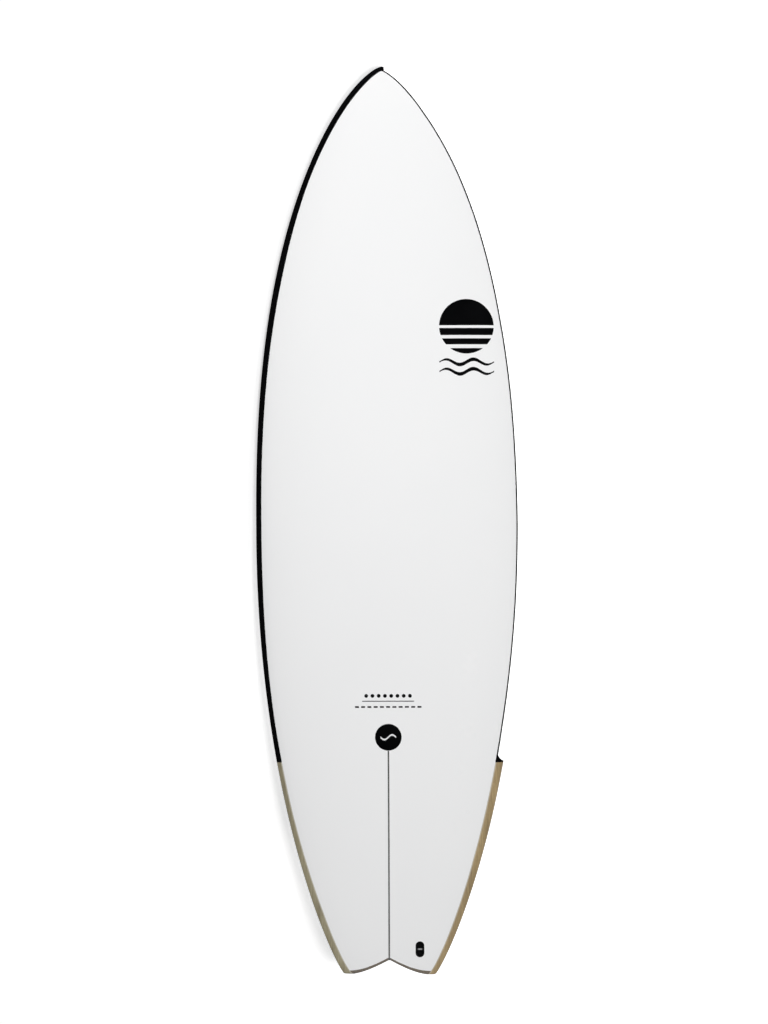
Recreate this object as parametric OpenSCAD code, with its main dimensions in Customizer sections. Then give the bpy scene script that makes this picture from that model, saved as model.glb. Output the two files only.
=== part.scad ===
// Shortboard surfboard with swallow tail, deck up, standing on its side fins and forward belly.
// Units are millimetres.  X is across the board (right rail is +X), Y runs to the nose, Z is up.
// Everything is first laid out in the board's own frame (u = distance forward of the tail tips,
// z = height over the rocker's base line), then rest() tips it to the way it stands on a floor.

/* [Board] */
// overall length along the base line [1500:2000]
board_length = 1727;
// half of the greatest width [200:300]
half_width = 257.5;
// greatest thickness [45:75]
board_thickness = 64;
// distance of the wide point from the tail tips [700:950]
wide_at = 848;
// distance of the thickest point from the tail tips [700:950]
thick_at = 840;
// half of the width across the tail tips [60:120]
tail_half_width = 86.4;
// depth of the swallow notch [0:40]
notch_depth = 27.8;
// distance of the swallow tips from the centre line [60:100]
notch_half_width = 82;
// thickness at the tail [10:20]
tail_thickness = 13;
// thickness at the nose [6:15]
nose_thickness = 9;
// height of the nose over the base line [90:150]
nose_rocker = 125;
// height of the tail over the base line [30:70]
tail_rocker = 57;
// lowest point of the rocker, from the tail tips [700:900]
flat_at = 800;
// depth of the single concave in the bottom [0:5]
concave = 3;

/* [Shell] */
// thickness of the deck sandwich skin [1:4]
deck_skin_t = 2;
// thickness of the bottom sandwich skin [1:3]
bottom_skin_t = 1.5;
// glue line between neighbouring pieces [0.02:0.2]
glue = 0.05;
// where the rails change from clear wood to black, from the tail tips [300:500]
rail_change_at = 403;
// front end of the tail stringer, from the tail tips [300:500]
stringer_end = 425;
// width of the tail stringer [2:4]
stringer_w = 3;
// depth of the wooden blocks that close the swallow lobes [3:8]
tail_block_d = 6;

/* [Fin boxes] */
// length of the slot for a fin tab [100:120]
slot_length = 110;
// width of the slot [5:8]
slot_width = 6.4;
// depth of the slot in the two side boxes [15:22]
side_slot_depth = 19;
// depth of the slot in the centre and rear boxes [10:15]
rear_slot_depth = 13;
// width of a box [12:18]
box_width = 14;
// inward turn of the side boxes, degrees [0:5]
side_toe = 3;
// inward turn of the rear boxes, degrees [0:5]
rear_toe = 1.5;

/* [Fins] */
// blade height [90:130]
fin_height = 114;
// blade length at the base [95:112]
fin_base = 106;
// outward lean of the side blades, degrees [0:9]
fin_cant = 6.5;
// thickness of the blade at its base [5:9]
fin_thickness = 7;
// play between a tab and its slot, each side [0.05:0.2]
tab_play = 0.1;

/* [Grub screws] */
// radius of the threaded hole [2:4]
thread_r = 3;
// play between screw and hole [0.01:0.1]
thread_play = 0.05;
// length of a screw [5:10]
screw_length = 7;

/* [Leash plug] */
// centre, across the board [40:80]
plug_x = 58.5;
// centre, from the tail tips [35:70]
plug_u = 48.5;
// width and length of the plug's rim [10:40]
plug_size = [16.5, 30];
// depth of the cup [10:16]
plug_depth = 15;
// radius of the cross bar [1.5:3]
bar_r = 2;

/* [Standing] */
// nose-down tilt at which both side fins and the belly touch the floor, degrees [0:10]
rest_tilt = 6.8084;
// shift that centres the standing board along Y
rest_y = -868.81;
// lift of the base line over the floor
rest_z = 122.4187;

/* [Hidden] */
$fn = 48;
L = board_length;
// breadth of the rail bands on the deck, from the seam to the widest line
left_band_at = [[0, 13.3], [120, 14.2], [200, 13.1], [300, 11.6], [480, 10.2], [560, 10.6], [760, 12],
  [950, 11.4], [1150, 12.2], [1340, 13.2], [1520, 11.3], [1620, 11.7], [1690, 11.7], [1727, 10.5]];
right_band_at = [[0, 10.6], [60, 12.1], [130, 13.2], [220, 14.4], [330, 14.9], [480, 14.7], [560, 13.8],
  [700, 11.9], [860, 10.2], [1000, 11.3], [1250, 12.6], [1440, 11.1], [1540, 11.1], [1640, 12.8],
  [1690, 11.7], [1727, 10.5]];
tuck_at = [[0, 11], [420, 13], [850, 24], [1300, 30], [1727, 30]];
rows = [tail_block_d, 20, 36, 54, 74, 96, 120, 150, 180, 215, 250, 285, 320, 350, 378, rail_change_at,
  stringer_end, 460, 505, 550, 600, 650, 700, 750, 800, 850, 900, 950, 1000, 1050, 1100, 1150, 1200,
  1250, 1300, 1345, 1390, 1430, 1470, 1505, 1540, 1570, 1600, 1625, 1650, 1670, 1687, 1700, 1710, 1717];
n_half = 7;
slot_cols = [for (k = [n_half:-1:0]) -k - 1, for (k = [0:n_half]) k + 1];
slot_rows = 16;

// ---- the board's shape ----
function half(u) = u > wide_at
  ? half_width * pow(max(0, 1 - pow((u - wide_at) / (L - wide_at), 2.4186)), 0.6854)
  : tail_half_width + (half_width - tail_half_width)
    * pow(1 - pow((wide_at - max(0, u)) / wide_at, 2.0842), 0.8484);
function edge_cos(u) = let (a = min(L - 2, max(0, u - 1)), m = (half(a + 2) - half(a)) / 2)
  1 / sqrt(1 + m * m);
// sd is -1 on the left and 1 on the right
function seam(u, sd) = half(u) - lookup(u, sd < 0 ? left_band_at : right_band_at) / edge_cos(u);
function rocker(u) = u > flat_at
  ? nose_rocker * pow((u - flat_at) / (L - flat_at), 2.2)
  : tail_rocker * pow((flat_at - u) / flat_at, 2.2);
function thick(u) = u > thick_at
  ? nose_thickness + (board_thickness - nose_thickness)
    * pow(max(0, 1 - pow((u - thick_at) / (L - thick_at), 1.7)), 0.9)
  : tail_thickness + (board_thickness - tail_thickness)
    * pow(1 - pow((thick_at - max(0, u)) / thick_at, 1.7), 0.8);
function apex(u) = 0.36 * thick(u);
function deck_z(x, u) = let (w = max(half(u), 0.4), n = min(1, abs(x) / w))
  rocker(u) + apex(u) + (thick(u) - apex(u)) * pow(max(0, 1 - pow(n, 2.4)), 0.55);
function bottom_z(x, u) = let (w = max(half(u), 0.4), n = min(1, abs(x) / w), c = edge_cos(u),
    r = min(lookup(u, tuck_at), 0.8 * w * c), q = max(0, 1 - (w - abs(x)) * c / r))
  rocker(u) + apex(u) * (1 - sqrt(max(0, 1 - q * q)))
  + concave * pow(sin(180 * u / L), 2) * (1 - n * n) * (q > 0 ? 1 - q : 1);
// the swallow tail bends the rearmost rows along the lobes
function lobe(x) = let (n = min(1, abs(x) / notch_half_width)) notch_depth * (1 - n) * (1 - n);
function row_u(x, t) = t < 120 ? t + lobe(x) * (1 - t / 120) : t;
function col_x(k, s) = k == 0 ? 0 : sign(k) * (stringer_w / 2 + glue
  + (s - stringer_w / 2 - glue) * sin(90 * (abs(k) - 1) / n_half));
// plan position of column k in row t
function spot(k, t) = let (u = row_u(col_x(k, seam(t, k)), t)) [col_x(k, seam(u, k)), u];

// ---- a plate between two surfaces over a grid, with an optional slot in one column of cells ----
function there(i, j, nu, nv, sr, sc) = i >= 0 && j >= 0 && i < nu - 1 && j < nv - 1 && !(i < sr && j == sc);
module plate(top, bot, nu, nv, sr = 0, sc = -1) {
  n = nu * nv;
  tris = [for (i = [0:nu - 2]) for (j = [0:nv - 2]) if (there(i, j, nu, nv, sr, sc))
    let (a = i * nv + j, b = a + 1, d = a + nv, c = d + 1)
    for (f = [[a, d, c], [a, c, b], [n + a, n + c, n + d], [n + a, n + b, n + c],
      if (!there(i + 1, j, nu, nv, sr, sc)) each [[c, d, n + d], [c, n + d, n + c]],
      if (!there(i - 1, j, nu, nv, sr, sc)) each [[a, b, n + b], [a, n + b, n + a]],
      if (!there(i, j + 1, nu, nv, sr, sc)) each [[b, c, n + c], [b, n + c, n + b]],
      if (!there(i, j - 1, nu, nv, sr, sc)) each [[d, a, n + a], [d, n + a, n + d]]]) f];
  polyhedron(points = concat(top, bot), faces = tris, convexity = 8);
}
module rest() translate([0, rest_y, rest_z]) rotate([-rest_tilt, 0, 0]) children();

// ---- skins and core ----
nr = len(rows);
nc = len(slot_cols);
xy = [for (t = rows) for (k = slot_cols) spot(k, t)];
module deck_skin() color([0.96, 0.96, 0.97]) rest() difference() {
  plate([for (p = xy) [p[0], p[1], deck_z(p[0], p[1])]],
    [for (p = xy) [p[0], p[1], deck_z(p[0], p[1]) - deck_skin_t]], nr, nc, slot_rows, n_half);
  plug_place() stadium(plug_size[0] + 2 * glue, plug_size[1] + 2 * glue, -20, 10);
}
module bottom_skin() color([0.95, 0.95, 0.96]) rest() difference() {
  plate([for (p = xy) [p[0], p[1], bottom_z(p[0], p[1]) + bottom_skin_t]],
    [for (p = xy) [p[0], p[1], bottom_z(p[0], p[1])]], nr, nc);
  for (b = boxes) box_place(b) box_outline(2 * glue, -5, 10);
}
module foam_core() color([0.93, 0.95, 0.97]) rest() difference() {
  plate([for (p = xy) [p[0], p[1], deck_z(p[0], p[1]) - deck_skin_t - glue]],
    [for (p = xy) [p[0], p[1], bottom_z(p[0], p[1]) + bottom_skin_t + glue]], nr, nc, slot_rows, n_half);
  for (b = boxes) box_place(b) insert_outline(b, 2 * glue, -5, b[4] + 4.5 + glue);
  plug_place() stadium(plug_size[0] + 2 * glue, plug_size[1] + 2 * glue, -plug_depth - glue, 10);
}
module tail_stringer() color([0.25, 0.25, 0.26]) rest() {
  w = stringer_w / 2;
  st = [for (i = [0:slot_rows]) spot(1, rows[i])];
  sp = [for (i = [0:slot_rows]) for (s = [-1, 1]) [s * w, st[i][1] - (i == slot_rows ? glue : 0)]];
  difference() {
    plate([for (i = [0:len(sp) - 1]) [sp[i][0], sp[i][1], deck_z(w, sp[i][1])]],
      [for (i = [0:len(sp) - 1]) [sp[i][0], sp[i][1], bottom_z(w, sp[i][1]) + bottom_skin_t + 2 * glue]],
      slot_rows + 1, 2);
    box_place(boxes[2]) insert_outline(boxes[2], 2 * glue, -5, boxes[2][4] + 4.5 + glue);
  }
}

// ---- rails and tail blocks ----
rail_cols = 6;
function fade(t, d) = t < d ? pow(1 - pow(1 - max(t, 0.02 * d) / d, 4), 0.25) : 1;
function nose_fade(u) = u > L - 9 ? sqrt(max(0.002, 1 - pow((u - L + 9) / 9, 2))) : 1;
// station t, column k of a rail, as if it were the right one: [x, u, top z, bottom z]
function rail_spot(k, t, inner, sd) = let (u0 = t < 1718 ? spot(sd * (n_half + 1), t)[1] : t,
    u = min(L, u0), f = fade(t, tail_block_d), g = nose_fade(u),
    s = inner ? seam(u, sd) + glue : glue,
    w = max(s + 0.4, s + (half(u) - s) * pow(fade(t, tail_block_d / 2), 0.3)),
    x = s + (w - s) * sin(90 * k / rail_cols), xs = s + (max(half(u), s + 0.4) - s) * sin(90 * k / rail_cols),
    zm = rocker(u) + apex(u), zt = deck_z(xs, u), zb = bottom_z(xs, u), m = f * g)
  [x, u, zm + max((zt - zm) * m, 0.12), zm - max((zm - zb) * m, 0.12)];
module rail(stations, side) {
  pts = [for (t = stations) for (k = [0:rail_cols]) rail_spot(k, t[0], t[1], side)];
  ps = side > 0 ? pts : [for (t = stations) for (k = [rail_cols:-1:0])
    let (p = rail_spot(k, t[0], t[1], side)) [-p[0], p[1], p[2], p[3]]];
  plate([for (p = ps) [p[0], p[1], p[2]]], [for (p = ps) [p[0], p[1], p[3]]],
    len(stations), rail_cols + 1);
}
tail_stations = [for (t = [0, 0.5, 1.6, 3.2]) [t, true], for (t = rows) if (t <= rail_change_at) [t, true]];
front_stations = [for (t = rows) if (t >= rail_change_at) [t == rail_change_at ? t + glue : t, true],
  for (t = [1717.2, 1719, 1721, 1723, 1724.6, 1725.8, 1726.6, 1727]) [t, false]];
module left_rail_front() color([0.04, 0.04, 0.045]) rest() rail(front_stations, -1);
module right_rail_front() color([0.04, 0.04, 0.045]) rest() rail(front_stations, 1);
module left_rail_tail() color([0.6, 0.52, 0.4]) rest() rail(tail_stations, -1);
module right_rail_tail() color([0.6, 0.52, 0.4]) rest() rail(tail_stations, 1);
module tail_block(side) {
  ts = [0, 0.5, 1.6, 3.2, tail_block_d - glue];
  ks = side > 0 ? [for (k = [1:n_half + 1]) k] : [for (k = [n_half + 1:-1:1]) -k];
  ps = [for (t = ts) for (k = ks) let (p = spot(k, t), f = fade(t, tail_block_d),
    a = deck_z(p[0], p[1]), b = bottom_z(p[0], p[1]), m = rocker(p[1]) + apex(p[1]))
    [p[0], p[1], m + max((a - m) * f, 0.12), m - max((m - b) * f, 0.12)]];
  plate([for (p = ps) [p[0], p[1], p[2]]], [for (p = ps) [p[0], p[1], p[3]]], len(ts), len(ks));
}
module left_tail_block() color([0.42, 0.34, 0.26]) rest() tail_block(-1);
module right_tail_block() color([0.42, 0.34, 0.26]) rest() tail_block(1);

// ---- fin boxes: frame at the bottom surface, x toward the nose, z into the board ----
// [x, u, toe angle, side, slot depth]
boxes = [[-156.4, 339, -side_toe, -1, side_slot_depth], [156.4, 339, side_toe, 1, side_slot_depth],
  [0, 148, 0, 0, rear_slot_depth], [-103.4, 200, -rear_toe, -1, rear_slot_depth],
  [103.4, 200, rear_toe, 1, rear_slot_depth]];
slot_front = slot_length / 2 - 5;
slot_back = -slot_length / 2 - 5;
box_front = slot_front + 17;
box_back = slot_back - 6;
hole_at = slot_front + 10;
function slope_u(x, u) = atan((bottom_z(x, u + 60) - bottom_z(x, u - 60)) / 120);
module box_place(b) translate([b[0], b[1], bottom_z(b[0], b[1]) + 0.1])
  rotate([slope_u(b[0], b[1]), 0, 0]) rotate([0, 0, 90 + b[2]]) children();
module box_outline(extra, z0, z1) round_bar(box_back - extra / 2, box_front + extra / 2, box_width + extra, z0, z1);
module insert_outline(b, extra, z0, z1)
  round_bar(box_back - 8 - extra / 2, box_front + 8 + extra / 2, box_width + 14 + extra, z0, z1);
module round_bar(x0, x1, w, z0, z1) {
  translate([x0 + w / 2, -w / 2, z0]) cube([x1 - x0 - w, w, z1 - z0]);
  translate([x0 + w / 2, 0, z0]) cylinder(d = w, h = z1 - z0);
  translate([x1 - w / 2, 0, z0]) cylinder(d = w, h = z1 - z0);
}
module fin_box(b) box_place(b) difference() {
  box_outline(0, 0, b[4] + 2.5);
  translate([slot_back, -slot_width / 2, -1]) cube([slot_length, slot_width, b[4] + 1]);
  translate([hole_at, 0, 0]) rotate([0, -45, 0]) translate([0, 0, -6]) cylinder(r = thread_r, h = 6 + 13);
}
module insert(b) box_place(b) difference() {
  insert_outline(b, 0, bottom_skin_t + 0.6, b[4] + 4.5);
  box_outline(2 * glue, -5, b[4] + 2.5 + glue);
}
module grub_screw(b) box_place(b) translate([hole_at, 0, 0]) rotate([0, -45, 0])
  translate([0, 0, 11 - screw_length]) difference() {
    cylinder(r = thread_r - thread_play, h = screw_length);
    translate([0, 0, -1]) cylinder(r = 1.7, h = 4.5, $fn = 6);
  }
module left_fin_box() color([0.9, 0.9, 0.9]) rest() fin_box(boxes[0]);
module right_fin_box() color([0.9, 0.9, 0.9]) rest() fin_box(boxes[1]);
module centre_fin_box() color([0.9, 0.9, 0.9]) rest() fin_box(boxes[2]);
module left_rear_box() color([0.9, 0.9, 0.9]) rest() fin_box(boxes[3]);
module right_rear_box() color([0.9, 0.9, 0.9]) rest() fin_box(boxes[4]);
module left_box_insert() color([0.85, 0.8, 0.55]) rest() insert(boxes[0]);
module right_box_insert() color([0.85, 0.8, 0.55]) rest() insert(boxes[1]);
module centre_box_insert() color([0.85, 0.8, 0.55]) rest() insert(boxes[2]);
module left_rear_insert() color([0.85, 0.8, 0.55]) rest() insert(boxes[3]);
module right_rear_insert() color([0.85, 0.8, 0.55]) rest() insert(boxes[4]);
module left_grub_screw() color([0.6, 0.6, 0.62]) rest() grub_screw(boxes[0]);
module right_grub_screw() color([0.6, 0.6, 0.62]) rest() grub_screw(boxes[1]);
module centre_grub_screw() color([0.6, 0.6, 0.62]) rest() grub_screw(boxes[2]);

// ---- fins: a foiled blade on a flat tab ----
blade_rows = 13;
blade_n = 14;
// height fraction h: leading and trailing edge
function blade_lead(h) = slot_front - 1 - 92 * pow(h, 1.45) - 22 * pow(h, 5);
function blade_trail(h) = slot_front - 1 - fin_base + 6 * sin(180 * min(1, h * 1.35)) - 30 * pow(h, 2.1);
function foil(c) = 2.2 * (sqrt(c) * (1 - c) + 0.02);
module blade(side) {
  hs = [for (i = [0:blade_rows]) 1 - pow(1 - i / blade_rows, 1.4)];
  cs = [for (j = [0:blade_n]) pow(j / blade_n, 1.5)];
  ps = [for (h = hs) for (c = cs) let (x0 = blade_lead(h), x1 = blade_trail(h),
    th = fin_thickness * (1 - 0.72 * h), y0 = -side * tan(fin_cant) * h * fin_height,
    a = th * foil(c) / 2 + 0.12)
    [x0 + (x1 - x0) * c, y0, -0.3 - h * fin_height, a]];
  // outboard face fully foiled, inboard face nearly flat on the side fins
  out = side == 0 ? 1 : 1.6;
  inn = side == 0 ? 1 : 0.4;
  l = [for (p = ps) [p[0], p[1] + p[3] * (side > 0 ? inn : side < 0 ? out : 1), p[2]]];
  r = [for (p = ps) [p[0], p[1] - p[3] * (side > 0 ? out : side < 0 ? inn : 1), p[2]]];
  plate(r, l, blade_rows + 1, blade_n + 1);
}
module fin(b) box_place(b) {
  blade(b[3]);
  translate([slot_back + 0.3, -slot_width / 2 + tab_play, -0.6])
    cube([slot_length - 0.35, slot_width - 2 * tab_play, b[4] + 0.3]);
}
module left_fin() color([0.12, 0.12, 0.13]) rest() fin(boxes[0]);
module right_fin() color([0.12, 0.12, 0.13]) rest() fin(boxes[1]);
module centre_fin() color([0.12, 0.12, 0.13]) rest() fin(boxes[2]);

// ---- leash plug: frame at the deck surface, z out of the deck ----
module plug_place() translate([plug_x, plug_u, deck_z(plug_x, plug_u)])
  rotate([atan((deck_z(plug_x, plug_u + 12) - deck_z(plug_x, plug_u - 12)) / 24), 0, 0])
  rotate([0, -atan((deck_z(plug_x + 6, plug_u) - deck_z(plug_x - 6, plug_u)) / 12), 0]) children();
module stadium(w, l, z0, z1) rotate([0, 0, 90]) round_bar(-l / 2, l / 2, w, z0, z1);
module leash_plug_cup() color([0.05, 0.05, 0.05]) rest() plug_place() difference() {
  stadium(plug_size[0], plug_size[1], -plug_depth, 0.1);
  stadium(plug_size[0] - 3.6, plug_size[1] - 3.6, -plug_depth + 2, 5);
  translate([-plug_size[0] / 2 + 0.6, 0, -4.4]) rotate([0, 90, 0]) cylinder(r = bar_r, h = plug_size[0] - 1.2);
}
module leash_plug_bar() color([0.75, 0.75, 0.76]) rest() plug_place()
  translate([-plug_size[0] / 2 + 0.65, 0, -4.4]) rotate([0, 90, 0]) cylinder(r = bar_r - 0.02, h = plug_size[0] - 1.3);

deck_skin();
bottom_skin();
foam_core();
tail_stringer();
left_rail_front();
right_rail_front();
left_rail_tail();
right_rail_tail();
left_tail_block();
right_tail_block();
left_fin_box();
right_fin_box();
centre_fin_box();
left_rear_box();
right_rear_box();
left_box_insert();
right_box_insert();
centre_box_insert();
left_rear_insert();
right_rear_insert();
left_grub_screw();
right_grub_screw();
centre_grub_screw();
leash_plug_cup();
leash_plug_bar();
left_fin();
right_fin();
centre_fin();
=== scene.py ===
"""Looks of the shortboard surfboard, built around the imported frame.

Sections: shape of the board, mesh helpers, shader helpers, materials, skins, rails and tail, fins,
printed marks, CAD nodes that stay, stage and light, camera.
"""
import math

import bpy
import numpy as np
from mathutils import Matrix, Vector


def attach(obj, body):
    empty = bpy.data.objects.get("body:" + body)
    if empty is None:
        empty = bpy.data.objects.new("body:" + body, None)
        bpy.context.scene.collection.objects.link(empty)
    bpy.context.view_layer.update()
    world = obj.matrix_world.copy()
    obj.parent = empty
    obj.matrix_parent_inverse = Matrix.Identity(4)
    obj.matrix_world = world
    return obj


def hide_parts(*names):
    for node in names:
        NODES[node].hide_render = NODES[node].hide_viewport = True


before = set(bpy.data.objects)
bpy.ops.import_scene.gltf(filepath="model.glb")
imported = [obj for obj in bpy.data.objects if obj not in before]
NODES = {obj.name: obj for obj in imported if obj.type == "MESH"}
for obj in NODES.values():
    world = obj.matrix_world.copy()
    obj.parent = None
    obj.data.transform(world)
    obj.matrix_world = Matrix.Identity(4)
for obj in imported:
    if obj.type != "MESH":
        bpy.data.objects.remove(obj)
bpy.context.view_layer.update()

# ---------------------------------------------------------------- shape of the board (millimetres)
# u runs forward from the tail tips, x to the right rail, z up from the rocker's base line
LENGTH, HALF_W, THICK = 1727.0, 257.5, 64.0
WIDE_AT, THICK_AT, FLAT_AT = 848.0, 840.0, 800.0
TAIL_HALF_W, TAIL_T, NOSE_T, CONCAVE = 86.4, 13.0, 9.0, 3.0
NOSE_LIFT, TAIL_LIFT = 125.0, 57.0
NOTCH_D, NOTCH_W = 27.8, 82.0
NOTCH_FADE = 120.0  # rows this far from the tail tips run straight across
APEX_SHARE = 0.36  # height of the widest line, as a share of the thickness
NOSE_ROUND = 9.0  # length over which the tip of the nose is rounded off
DECK_T, BOTTOM_T, GLUE = 2.0, 1.5, 0.05
RAIL_CHANGE, BLOCK_D = 403.0, 6.0
STRINGER_END, STRINGER_W = 425.0, 3.0
LEAST_W, LEAST_RISE = 0.4, 0.12  # what is left of a rail's breadth and height at its ends
TILT = math.radians(6.8084)
REST_Y, REST_Z = -868.81, 122.4187

# breadth of the rail bands on the deck, from the seam to the widest line: stations, breadths
LEFT_BAND = ([0, 120, 200, 300, 480, 560, 760, 950, 1150, 1340, 1520, 1620, 1690, LENGTH],
             [13.3, 14.2, 13.1, 11.6, 10.2, 10.6, 12, 11.4, 12.2, 13.2, 11.3, 11.7, 11.7, 10.5])
RIGHT_BAND = ([0, 60, 130, 220, 330, 480, 560, 700, 860, 1000, 1250, 1440, 1540, 1640, 1690, LENGTH],
              [10.6, 12.1, 13.2, 14.4, 14.9, 14.7, 13.8, 11.9, 10.2, 11.3, 12.6, 11.1, 11.1, 12.8,
               11.7, 10.5])
# how far the bottom's rounding reaches in from the edge: stations, reaches
ROUNDING = ([0, 420, 850, 1300, LENGTH], [11, 13, 24, 30, 30])


def progress(u, start, end):
    """How far u has come from start to end, 0 to 1."""
    return np.clip((np.asarray(u, float) - start) / (end - start), 0, 1)


def half(u):
    """Half width of the outline."""
    fore = HALF_W * (1 - progress(u, WIDE_AT, LENGTH) ** 2.4186) ** 0.6854
    aft = TAIL_HALF_W + (HALF_W - TAIL_HALF_W) * (1 - progress(u, WIDE_AT, 0) ** 2.0842) ** 0.8484
    return np.where(u > WIDE_AT, fore, aft)


def edge_cos(u):
    """Cosine of the angle between the outline and the centre line."""
    back = np.clip(np.asarray(u, float) - 1.0, 0, LENGTH - 2)
    slope = (half(back + 2) - half(back)) / 2
    return 1 / np.sqrt(1 + slope * slope)


def seam(u, side):
    """Half width of the skins, out to the rail band of the left (negative) or right side."""
    band = np.where(np.asarray(side) < 0, np.interp(u, *LEFT_BAND), np.interp(u, *RIGHT_BAND))
    return half(u) - band / edge_cos(u)


def rocker(u):
    """Height of the bottom's centre line over the base line."""
    return np.where(u > FLAT_AT, NOSE_LIFT * progress(u, FLAT_AT, LENGTH) ** 2.2,
                    TAIL_LIFT * progress(u, FLAT_AT, 0) ** 2.2)


def thick(u):
    fore = NOSE_T + (THICK - NOSE_T) * (1 - progress(u, THICK_AT, LENGTH) ** 1.7) ** 0.9
    aft = TAIL_T + (THICK - TAIL_T) * (1 - progress(u, THICK_AT, 0) ** 1.7) ** 0.8
    return np.where(u > THICK_AT, fore, aft)


def apex(u):
    """Height of the widest line over the rocker."""
    return APEX_SHARE * thick(u)


def deck_z(x, u):
    share = np.minimum(1, np.abs(x) / np.maximum(half(u), LEAST_W))
    return rocker(u) + apex(u) + (thick(u) - apex(u)) * (1 - share ** 2.4) ** 0.55


def bottom_z(x, u):
    width, cos = np.maximum(half(u), LEAST_W), edge_cos(u)
    share = np.minimum(1, np.abs(x) / width)
    radius = np.minimum(np.interp(u, *ROUNDING), 0.8 * width * cos)
    turn = np.maximum(0, 1 - (width - np.abs(x)) * cos / radius)
    hollow = CONCAVE * np.sin(np.pi * u / LENGTH) ** 2 * (1 - share * share) * (1 - turn)
    return rocker(u) + apex(u) * (1 - np.sqrt(np.maximum(0, 1 - turn * turn))) + hollow


def lobe(x):
    """Depth of the tail's notch at x."""
    return NOTCH_D * (1 - np.minimum(1, np.abs(x) / NOTCH_W)) ** 2


def row_u(x, t):
    """Station of the row t at x; the rows near the tail follow its notch."""
    return t + lobe(x) * np.maximum(0, 1 - t / NOTCH_FADE)


def tail_fade(t, depth=BLOCK_D):
    """Rise of the rounded tail end from the widest line, 0 to 1, at distance t from the end."""
    part = np.minimum(np.maximum(t, 0.02 * depth) / depth, 1)
    return (1 - (1 - part) ** 4) ** 0.25


def nose_fade(u):
    """Height left by the rounding of the tip of the nose, 1 to nearly 0."""
    part = np.maximum(u - LENGTH + NOSE_ROUND, 0) / NOSE_ROUND
    return np.sqrt(np.maximum(0.002, 1 - part ** 2))


def spots(xi, t):
    """Plan positions of the share xi (-1 to 1) of the skins' half width, on rows t."""
    u = row_u(xi * seam(t, xi), t)
    return xi * seam(u, xi), u


def place(x, u, z):
    """Board frame in millimetres to the row frame in metres."""
    x, u, z = np.broadcast_arrays(np.asarray(x, float), u, z)
    c, s = math.cos(TILT), math.sin(TILT)
    return np.stack([x, u * c + z * s + REST_Y, -u * s + z * c + REST_Z], -1) / 1000.0


def faired(x, u, under, rise):
    """Deck and bottom points at x: the heights found at under, scaled by rise about the widest line."""
    mid = rocker(u) + apex(u)
    top = mid + np.maximum((deck_z(under, u) - mid) * rise, LEAST_RISE)
    bottom = mid - np.maximum((mid - bottom_z(under, u)) * rise, LEAST_RISE)
    return place(x, u, top), place(x, u, bottom)


REST = Matrix.Translation((0, REST_Y / 1000, REST_Z / 1000)) @ Matrix.Rotation(-TILT, 4, "X")


# ---------------------------------------------------------------- mesh helpers
SHARP, RAIL_SHARP = 35, 50  # degrees at which an edge stops being smooth


def linked(name, data):
    ob = bpy.data.objects.new(name, data)
    bpy.context.scene.collection.objects.link(ob)
    return ob


def smooth(mesh, angle):
    mesh.shade_smooth()
    mesh.set_sharp_from_angle(angle=math.radians(angle))


def new_mesh(name, verts, faces, angle=SHARP):
    mesh = bpy.data.meshes.new(name)
    mesh.from_pydata([tuple(v) for v in verts], [], faces)
    mesh.validate()
    mesh.update()
    smooth(mesh, angle)
    return linked(name, mesh)


def shell(name, top, bottom, angle=SHARP):
    """A closed plate between two grids of points, top[i][j] over bottom[i][j]."""
    rows, cols = top.shape[:2]
    n = rows * cols
    verts = np.concatenate([top.reshape(-1, 3), bottom.reshape(-1, 3)])
    i, j = np.meshgrid(np.arange(rows - 1), np.arange(cols - 1), indexing="ij")
    a = (i * cols + j).ravel()
    faces = np.concatenate([np.stack([a, a + 1, a + cols + 1, a + cols], 1),
                            np.stack([n + a, n + a + cols, n + a + cols + 1, n + a + 1], 1)]).tolist()
    rim = (list(range(cols)) + [k * cols + cols - 1 for k in range(1, rows)]
           + [(rows - 1) * cols + k for k in range(cols - 2, -1, -1)]
           + [k * cols for k in range(rows - 2, 0, -1)])
    for p, q in zip(rim, rim[1:] + rim[:1]):
        faces.append([q, p, n + p, n + q])
    return new_mesh(name, verts, faces, angle)


def arc(x, z, r, start, end, n):
    """Points of an arc, with its angles in degrees."""
    return [(x + r * math.cos(a), z + r * math.sin(a))
            for a in np.linspace(math.radians(start), math.radians(end), n)]


def prism(name, ring, low, high, point):
    """A closed solid from a ring of corners, swept from low to high; point makes each vertex."""
    n = len(ring)
    verts = [point(p, q, at) for at in (low, high) for p, q in ring]
    faces = [[k, (k + 1) % n, n + (k + 1) % n, n + k] for k in range(n)]
    faces += [list(range(n - 1, -1, -1)), list(range(n, 2 * n))]
    return new_mesh(name, verts, faces)


def round_cutter(x0, x1, width, z0, z1, matrix):
    """A bar with round ends, in millimetres, for cutting an opening."""
    r = width / 2
    ring = arc(x1 - r, 0, r, -90, 90, 24) + arc(x0 + r, 0, r, 90, 270, 24)
    return prism("cut", ring, z0, z1, lambda x, y, z: matrix @ (Vector((x, y, z)) / 1000))


def carve(ob, cutters):
    """Cuts other meshes out of a piece for good."""
    for cutter in cutters:
        cut = ob.modifiers.new("cut", "BOOLEAN")
        cut.operation = "DIFFERENCE"
        cut.solver = "EXACT"
        cut.object = cutter
    bpy.context.view_layer.update()
    done = bpy.data.meshes.new_from_object(ob.evaluated_get(bpy.context.evaluated_depsgraph_get()))
    ob.modifiers.clear()
    ob.data = done
    smooth(done, SHARP)
    for cutter in cutters:
        bpy.data.objects.remove(cutter)


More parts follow.
